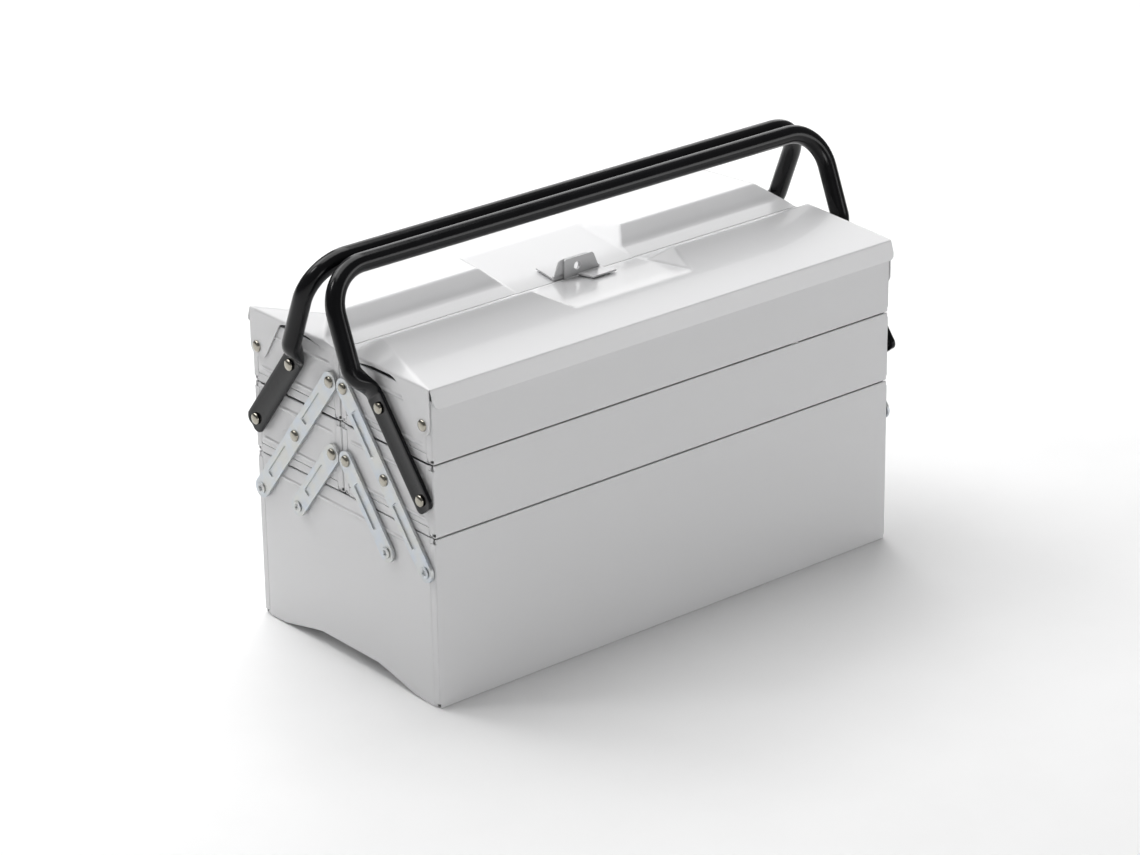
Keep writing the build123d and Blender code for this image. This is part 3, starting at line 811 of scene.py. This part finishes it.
# ---- arms
def arm_grid(low_pivot, high_pivot, stations, x_face, use):
    """Outer face of a flat arm with round ends and a pressed groove between each two pivots."""
    start, end = Vector((0, *low_pivot)), Vector((0, *high_pivot))
    along = (end - start).normalized()
    across = Vector((0, along.z, -along.y))
    length = (end - start).length
    radius = use.arm_width / 2
    ends = [radius * (1 - math.cos(t)) for t in steps(0, math.pi / 2, 10)]
    run = merge_steps([v - radius for v in ends], steps(0, length, int(length / (1.2 * MM))),
                      [length + radius - v for v in ends])
    half_long, half_wide = use.groove_length / 2, use.groove_width / 2
    wall, round_end = 0.35 * MM, 1.2 * MM
    offsets = (-3 * wall, -wall, 0.0, 0.3 * wall)
    middles = [(a + b) / 2 * length for a, b in zip(stations, stations[1:])]
    run = merge_steps(run, [middle + sign * (half_long + offset)
                            for middle in middles for sign in (-1, 1) for offset in offsets])
    edges = [sign * (half_wide + offset) / radius for sign in (-1, 1) for offset in offsets]
    columns = merge_steps([math.sin(t) for t in steps(-math.pi / 2, math.pi / 2, 22)], edges)
    rows = []
    for s in run:
        past = max(-s, s - length, 0.0)
        width = math.sqrt(max(radius ** 2 - past ** 2, 0.0))
        row = []
        for share in columns:
            v = width * share
            sink = 0.0
            for middle in middles:
                past_end = max(abs(s - middle) - half_long + round_end, 0.0)
                past_edge = max(abs(v) - half_wide + round_end, 0.0)
                outside = math.hypot(past_end, past_edge) - round_end
                sink = max(sink, use.groove_depth * (1 - smooth_step(outside, -wall, 0.0)))
            row.append(start + along * s + across * v + Vector((x_face - sink, 0, 0)))
        rows.append(row)
    return rows


class TOOLBOX_OT_arms(bpy.types.Operator):
    """Long and short zinc-plated arms with pressed grooves"""
    bl_idname = "toolbox.arms"
    bl_label = "Arms"

    def execute(self, context):
        use = context.scene.toolbox_linkage
        kinds = {"long": ("base_outer", "top_inner", (0.0, 0.5, 1.0)),
                 "short": ("base_mid", "middle_inner", (0.0, 1.0))}
        for kind, (low, high, stations) in kinds.items():
            box_low, box_high = corners(f"back_{kind}_arm_right")
            grid = arm_grid(PIVOTS[low], PIVOTS[high], stations, box_high.x, use)
            for side, sign in SIDES.items():
                for end, end_sign in ENDS.items():
                    sheet_piece(f"{side}_{kind}_bar_{end}", grid, sign, end_sign, f"{side}_{kind}_arms",
                                f"{side}_{kind}_arm_{end}", zinc_plate(),
                                box_high.x - box_low.x, 0.35 * MM)
        return {"FINISHED"}


# ---- handles
def bezier(points, share):
    """Point on a cubic Bezier curve."""
    rest = 1 - share
    return (points[0] * rest ** 3 + points[1] * 3 * share * rest ** 2
            + points[2] * 3 * share ** 2 * rest + points[3] * share ** 3)


def handle_stations(use):
    """Right half of the back handle, from the middle of the grip to its lower end.

    A station is (centre, direction, half width, half thickness, how much of the lengthwise hollow).
    """
    box_low, box_high = corners("back_handle")
    radius = use.tube_radius
    grip = Vector((0, box_low.y + radius, box_high.z - radius))
    reach = box_high.x - radius
    tilt = Vector((0, math.sin(use.tilt), -math.cos(use.tilt)))
    out = Vector((1, 0, 0))
    upper, lower = Vector((0, *PIVOTS["top_mid"])), Vector((0, *PIVOTS["middle_outer"]))
    down = (lower - upper).normalized()
    plate_offset, leg_drop = 3.8 * MM, 63 * MM
    flat_half, seam_rise = 1.8 * MM, 0.9 * MM
    stations = [(grip + out * x, out, radius, radius, 0.0) for x in steps(0, reach - use.handle_bend, 10)]
    middle = grip + out * (reach - use.handle_bend) + tilt * use.handle_bend
    for turn in steps(0, math.pi / 2, 18)[1:]:
        place = middle + (out * math.sin(turn) - tilt * math.cos(turn)) * use.handle_bend
        stations.append((place, out * math.cos(turn) + tilt * math.sin(turn), radius, radius, 0.0))
    leg_run = leg_drop / math.cos(use.tilt)
    for run in steps(0, leg_run - use.handle_bend, 6)[1:]:
        stations.append((grip + out * reach + tilt * (use.handle_bend + run), tilt, radius, radius, 0.0))
    leg_end = grip + out * reach + tilt * leg_run
    flat_top = out * (HALF_LENGTH + plate_offset) + upper - down * use.flat_lead
    curve = [leg_end, leg_end + tilt * 9 * MM, flat_top - down * 8 * MM, flat_top]
    for share in steps(0, 1, 24)[1:]:
        here, ahead = bezier(curve, share - 0.01), bezier(curve, share)
        widening = smooth_step(share, 0.1, 0.9)
        flattening = smooth_step(share, 0.25, 1.0)
        stations.append((ahead, (ahead - here).normalized(),
                         radius + (use.flat_half_width - radius) * widening,
                         radius + (flat_half + seam_rise - radius) * flattening, 0.0))
    straight = (lower - upper).length + use.flat_lead + use.flat_tail - use.flat_corner
    for run in merge_steps(steps(0.4 * MM, 2.4 * MM, 5), steps(2.4 * MM, straight, 24)):
        pressed = smooth_step(run, 0.4 * MM, 2.2 * MM)
        stations.append((flat_top + down * run, down, use.flat_half_width,
                         flat_half + seam_rise * (1 - pressed), pressed))
    for turn in steps(0, math.pi / 2, 8)[1:]:
        place = flat_top + down * (straight + use.flat_corner * math.sin(turn))
        width = use.flat_half_width - use.flat_corner * (1 - math.cos(turn))
        stations.append((place, down, width, flat_half, 1.0))
    return stations


def handle_ring(station, use, segments=36):
    """Section of the handle: round tube, oval, or flat with full edges and a shallow hollow between them."""
    centre, direction, half_width, half_thickness, hollow = station
    side_down = Vector((0, direction.y, direction.z))
    if side_down.length < 1e-4:
        side_down = Vector((0, math.sin(use.tilt), -math.cos(use.tilt)))
    side_down.normalize()
    across = Vector((0, -side_down.z, side_down.y))
    outward = across.cross(direction).normalized()
    round_part = 1.0 - 0.55 * hollow
    ring = []
    for turn in steps(0, 2 * math.pi, segments)[:-1]:
        c, s = math.cos(turn), math.sin(turn)
        width = half_width * math.copysign(abs(c) ** round_part, c)
        pinch = 1 - 0.38 * hollow * (1 - min(abs(width) / half_width, 1.0) ** 2) ** 2
        height = half_thickness * math.copysign(abs(s) ** round_part, s) * pinch
        ring.append(centre + across * width + outward * height)
    return ring


class TOOLBOX_OT_handles(bpy.types.Operator):
    """Two tubular handles with flattened ends"""
    bl_idname = "toolbox.handles"
    bl_label = "Handles"

    def execute(self, context):
        use = context.scene.toolbox_linkage
        right = [handle_ring(station, use) for station in handle_stations(use)]
        rings = place_grid(right[:0:-1], 1.0, -1.0) + right
        for side, sign in SIDES.items():
            name = f"{side}_carrying_handle"
            handle = scene_object(name, tube_mesh(name, place_grid(rings, sign), 0.005 * MM))
            finish_piece(handle, black_enamel(), f"{side}_handle", [f"{side}_handle"],
                         edge=0.0)
        return {"FINISHED"}


# ---- rivets
def lathe(name, profile, segments=28, petals=None):
    """Closed mesh of an (x, radius) profile turned about X; petals changes a radius by its angle."""
    rings = []
    for index, (x, radius) in enumerate(profile):
        ring = []
        for turn in steps(0, 2 * math.pi, segments)[:-1]:
            r = petals(index, radius, turn) if petals else radius
            ring.append((x, r * math.cos(turn), r * math.sin(turn)))
        rings.append(ring)
    mesh = tube_mesh(name, rings, 0.002 * MM)
    mesh.shade_smooth()
    return mesh


def tail_profile(tail):
    """Half section of a rivet's inner end, from its tip to where the shank meets the head."""
    tail_out, button = 1.2 * MM, 1.5 * MM
    tip = [(-tail - tail_out * math.sin(t), (SHANK_RADIUS + button) * math.cos(t) + 0.02 * MM)
           for t in reversed(steps(0, math.pi / 2, 5))]
    return tip + [(-tail, SHANK_RADIUS), (0.0, SHANK_RADIUS)]


def domed_profile(use, tail):
    """Half section of a domed rivet; x is 0 under the head, and the tail lies inside the panel."""
    head, height, rim = use.rivet_radius, use.rivet_height, 0.45 * MM
    dome = [(rim + (height - rim) * math.sin(t), (head - 0.1 * MM) * math.cos(t))
            for t in steps(0, math.pi / 2, 9)]
    dome[-1] = (height, 0.02 * MM)
    return tail_profile(tail) + [(0.0, head - 0.15 * MM), (0.12 * MM, head)] + dome


def tubular_profile(use, tail):
    """Half section of a tubular rivet whose rolled head leaves a deep hole."""
    head, roll, lip = use.rivet_radius, 0.55 * MM, 0.9 * MM
    rim = [(roll + roll * math.sin(t), head - roll - lip + (roll + lip) * math.cos(t))
           for t in steps(0, math.pi / 2, 5)]
    hole = [(1.9 * roll, TUBULAR_HOLE), (1.1 * roll, 1.9 * MM), (-0.4 * MM, 1.7 * MM), (-2.2 * MM, 1.5 * MM),
            (-2.25 * MM, 0.02 * MM)]
    return tail_profile(tail) + [(0.0, head - 0.2 * MM)] + rim + hole


def star_hole(index, radius, turn):
    """Splits the mouth of a tubular rivet into four lobes; the first rows of the profile are left round."""
    if index >= FIRST_HOLE_ROW and radius < TUBULAR_HOLE:
        return radius * (1 + 0.28 * math.cos(4 * turn))
    return radius


def rivet_tree():
    """Geometry nodes: a rivet on every point, turned to face outwards, at a random angle about its axis."""
    tree = bpy.data.node_groups.get("rivets_on_points")
    if tree:
        return tree
    tree = bpy.data.node_groups.new("rivets_on_points", "GeometryNodeTree")
    for name, way, kind in (("Geometry", "INPUT", "Geometry"), ("Rivet", "INPUT", "Object"),
                            ("Scale", "INPUT", "Float"), ("Material", "INPUT", "Material"),
                            ("Geometry", "OUTPUT", "Geometry")):
        tree.interface.new_socket(name, in_out=way, socket_type=f"NodeSocket{kind}")
    given = add_node(tree, "NodeGroupInput")
    shape = add_node(tree, "GeometryNodeObjectInfo", {"Object": given.outputs["Rivet"]})
    facing = add_node(tree, "GeometryNodeInputNamedAttribute", {"Name": "facing"}, data_type="FLOAT")
    spin = add_node(tree, "FunctionNodeRandomValue", data_type="FLOAT")
    spin.inputs[2].default_value = 0.0
    spin.inputs[3].default_value = 2 * math.pi
    spin.inputs["Seed"].default_value = 7
    turn = add_node(tree, "ShaderNodeCombineXYZ", {"X": spin.outputs[1], "Z": facing.outputs["Attribute"]})
    placed = add_node(tree, "GeometryNodeInstanceOnPoints", {
        "Points": given.outputs["Geometry"], "Instance": shape.outputs["Geometry"],
        "Rotation": turn.outputs["Vector"], "Scale": given.outputs["Scale"]})
    real = add_node(tree, "GeometryNodeRealizeInstances", {"Geometry": placed.outputs["Instances"]})
    done = add_node(tree, "GeometryNodeSetMaterial", {"Geometry": real.outputs["Geometry"],
                                                      "Material": given.outputs["Material"]})
    add_node(tree, "NodeGroupOutput", {"Geometry": done.outputs["Geometry"]})
    return tree


def rivet_group(name, places, shape, material):
    """One mesh of rivets at (x, y, z) places on the right end, and mirrored ones on the left."""
    points = [Vector(p) for p in places] + [mirrored(p, 1.0, -1.0) for p in places]
    mesh = bpy.data.meshes.new(name)
    mesh.from_pydata(points, [], [])
    facing = mesh.attributes.new("facing", "FLOAT", "POINT")
    for item, point in zip(facing.data, points):
        item.value = 0.0 if point.x > 0 else math.pi
    group = scene_object(name, mesh)
    tree = rivet_tree()
    modifier = group.modifiers.new("rivets", "NODES")
    modifier.node_group = tree
    sockets = {item.name: item.identifier for item in tree.interface.items_tree if item.in_out == "INPUT"}
    modifier[sockets["Rivet"]] = shape
    modifier[sockets["Scale"]] = 1.0
    modifier[sockets["Material"]] = material
    apply_modifiers(group)
    return group


class TOOLBOX_OT_rivets(bpy.types.Operator):
    """Tubular rivets on the base, domed rivets on trays and lids"""
    bl_idname = "toolbox.rivets"
    bl_label = "Rivets"

    def execute(self, context):
        use = context.scene.toolbox_linkage
        play = 0.1 * MM
        arm_face = corners("back_long_arm_right")[1].x + play
        handle_face = HALF_LENGTH + 5.6 * MM + play
        lid_face = corners("back_lid")[1].x + play
        inside = HALF_LENGTH - 2 * SHEET

        def shape(name, profile, petals=None):
            return scene_object(f"{name}_shape", lathe(name, profile, petals=petals))

        def places(face, sign, pivots):
            return [(face, sign * PIVOTS[key][0], PIVOTS[key][1]) for key in pivots]

        tubular = shape("tubular_rivet", tubular_profile(use, arm_face - inside), star_hole)
        on_arm = shape("arm_rivet", domed_profile(use, arm_face - inside))
        on_handle = shape("handle_rivet", domed_profile(use, handle_face - inside))
        on_lid = shape("lid_rivet", domed_profile(use, lid_face - inside))
        base = [place for key in ("base_outer", "base_mid") for sign in (1, -1)
                for place in places(arm_face, sign, [key])]
        self.make("base_hollow_rivets", base, tubular, zinc_plate(), "zinc_plate", "base",
                  ["base_arm_rivets"])
        nickel = nickel_plate()
        groups = {"middle": (["middle_mid", "middle_inner"], ["middle_outer"]),
                  "top": (["top_inner"], ["top_mid"])}
        for side, sign in SIDES.items():
            for level, (arm_pivots, handle_pivots) in groups.items():
                body = f"{side}_{level}_tray"
                self.make(f"{body}_arm_rivets", places(arm_face, sign, arm_pivots), on_arm, nickel,
                          "nickel_rivet", body, [f"{body}_rivets"])
                self.make(f"{body}_handle_rivets", places(handle_face, sign, handle_pivots), on_handle,
                          nickel, "nickel_rivet", body, [])
            self.make(f"{side}_lid_hinge_rivets", places(lid_face, sign, ["top_outer"]), on_lid, nickel,
                      "nickel_rivet", f"{side}_top_tray", [f"{side}_lid_rivets"])
        for pattern in (tubular, on_arm, on_handle, on_lid):
            bpy.data.objects.remove(pattern)
        return {"FINISHED"}

    def make(self, name, places, shape, material, slot, body, nodes):
        """One group of rivets on its body."""
        group = rivet_group(name, places, shape, material)
        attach(group, body)
        if nodes:
            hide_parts(*nodes)


class TOOLBOX_OT_spacers(bpy.types.Operator):
    """Zinc finish for the spacer washers"""
    bl_idname = "toolbox.spacers"
    bl_label = "Spacer washers"

    def execute(self, context):
        zinc = zinc_plate()
        for name, node in frame["nodes"].items():
            if name.endswith("spacers"):
                node.data.materials.clear()
                node.data.materials.append(zinc)
        return {"FINISHED"}


# ---- stage
# Each softbox: place, what it aims at, side in metres, watts.
SOFTBOXES = {
    "overhead_softbox": ((0.0, 0.95, 2.3), (0.0, 0.6, 0), 2.4, 56.0),
    "rear_softbox": ((-0.7, 2.1, 2.0), (0, 0.1, 0.1), 1.5, 18.0),
    "rear_right_softbox": ((1.7, 1.9, 1.3), (0, 0, 0.2), 1.9, 18.0),
    "rear_left_softbox": ((-1.6, 0.9, 1.9), (0, 0, 0.15), 0.4, 6.5),
    "front_low_softbox": ((-0.7, -2.3, 0.12), (0, 0, 0.05), 1.0, 12.0),
    "front_right_softbox": ((1.45, -1.95, 0.42), (0, 0, 0.1), 0.9, 8.0),
}
CAMERA_TURN, CAMERA_RISE, CAMERA_ROLL = math.radians(-39.46), math.radians(23.26), math.radians(-0.87)
CAMERA_TARGET = (-7.9 * MM, 0, 122 * MM)
CAMERA_DISTANCE = 2.9273
CAMERA_LENS = 125.76
AIR_STRENGTH = 0.18
FLOOR_HALF = 12.0


class TOOLBOX_OT_stage(bpy.types.Operator):
    """Pale floor, soft studio lights and the camera"""
    bl_idname = "toolbox.stage"
    bl_label = "Studio"

    def execute(self, context):
        mesh = bpy.data.meshes.new("floor")
        signs = ((-1, -1), (1, -1), (1, 1), (-1, 1))
        mesh.from_pydata([(FLOOR_HALF * a, FLOOR_HALF * b, 0) for a, b in signs], [], [(0, 1, 2, 3)])
        floor = scene_object("floor", mesh)
        floor.data.materials.append(studio_floor())
        for name, (place, target, size_m, power) in SOFTBOXES.items():
            self.light(name, place, target, size_m, power)
        self.backdrop(context.scene)
        self.camera(context.scene)
        context.scene.view_settings.view_transform = "Standard"
        return {"FINISHED"}

    def light(self, name, place, target, size, power):
        """Square area light aimed at a point."""
        lamp = bpy.data.lights.new(name, "AREA")
        lamp.shape = "SQUARE"
        lamp.size = size
        lamp.energy = power
        holder = scene_object(name, lamp)
        holder.location = place
        aim = Vector(target) - Vector(place)
        holder.rotation_euler = aim.to_track_quat("-Z", "Y").to_euler()

    def backdrop(self, scene):
        """Even, weak white light from all round."""
        world = bpy.data.worlds.new("studio_air")
        world.use_nodes = True
        tree = world.node_tree
        tree.nodes.clear()
        inputs = {"Color": (1.0, 1.0, 1.0, 1.0), "Strength": AIR_STRENGTH}
        air = add_node(tree, "ShaderNodeBackground", inputs)
        add_node(tree, "ShaderNodeOutputWorld", {"Surface": air.outputs["Background"]})
        scene.world = world

    def camera(self, scene):
        """Three-quarter view from the front left, a little above, with a long lens."""
        turn, rise, roll = CAMERA_TURN, CAMERA_RISE, CAMERA_ROLL
        back = Vector((math.sin(turn) * math.cos(rise), -math.cos(turn) * math.cos(rise), math.sin(rise)))
        right = Vector((math.cos(turn), math.sin(turn), 0))
        up = back.cross(right)
        rolled_right = right * math.cos(roll) + up * math.sin(roll)
        rolled_up = up * math.cos(roll) - right * math.sin(roll)
        lens = bpy.data.cameras.new("camera")
        lens.lens = CAMERA_LENS
        lens.sensor_width = 36.0
        lens.clip_end = 50.0
        camera = scene_object("camera", lens)
        axes = Matrix((rolled_right, rolled_up, back)).transposed().to_4x4()
        camera.matrix_world = Matrix.Translation(Vector(CAMERA_TARGET) + back * CAMERA_DISTANCE) @ axes
        scene.camera = camera


class TOOLBOX_PT_panel(bpy.types.Panel):
    """Sizes, colours and build steps of the toolbox"""
    bl_label = "Toolbox"
    bl_idname = "TOOLBOX_PT_panel"
    bl_space_type = "VIEW_3D"
    bl_region_type = "UI"
    bl_category = "Toolbox"

    def draw(self, context):
        for operator in OPERATORS:
            self.layout.operator(operator.bl_idname)
        for key in SETTINGS:
            box = self.layout.box()
            group = getattr(context.scene, key)
            for name in group.__annotations__:
                box.prop(group, name)


SETTINGS = {"toolbox_sheet": SheetSettings, "toolbox_lid": LidSettings, "toolbox_linkage": LinkageSettings,
            "toolbox_colours": ColourSettings}
OPERATORS = (TOOLBOX_OT_stage, TOOLBOX_OT_base, TOOLBOX_OT_trays, TOOLBOX_OT_lids, TOOLBOX_OT_hasp,
             TOOLBOX_OT_arms, TOOLBOX_OT_handles, TOOLBOX_OT_rivets, TOOLBOX_OT_spacers)


def register():
    """Adds the settings, operators and panel to Blender."""
    for item in (*SETTINGS.values(), *OPERATORS, TOOLBOX_PT_panel):
        bpy.utils.register_class(item)
    for key, group in SETTINGS.items():
        setattr(bpy.types.Scene, key, bpy.props.PointerProperty(type=group))


def unregister():
    """Takes them out again."""
    for key in SETTINGS:
        delattr(bpy.types.Scene, key)
    for item in reversed((*SETTINGS.values(), *OPERATORS, TOOLBOX_PT_panel)):
        bpy.utils.unregister_class(item)


def main():
    """Runs every build step in order and writes the size file."""
    register()
    for operator in OPERATORS:
        family, name = operator.bl_idname.split(".")
        getattr(getattr(bpy.ops, family), name)()


if __name__ == "__main__":
    main()
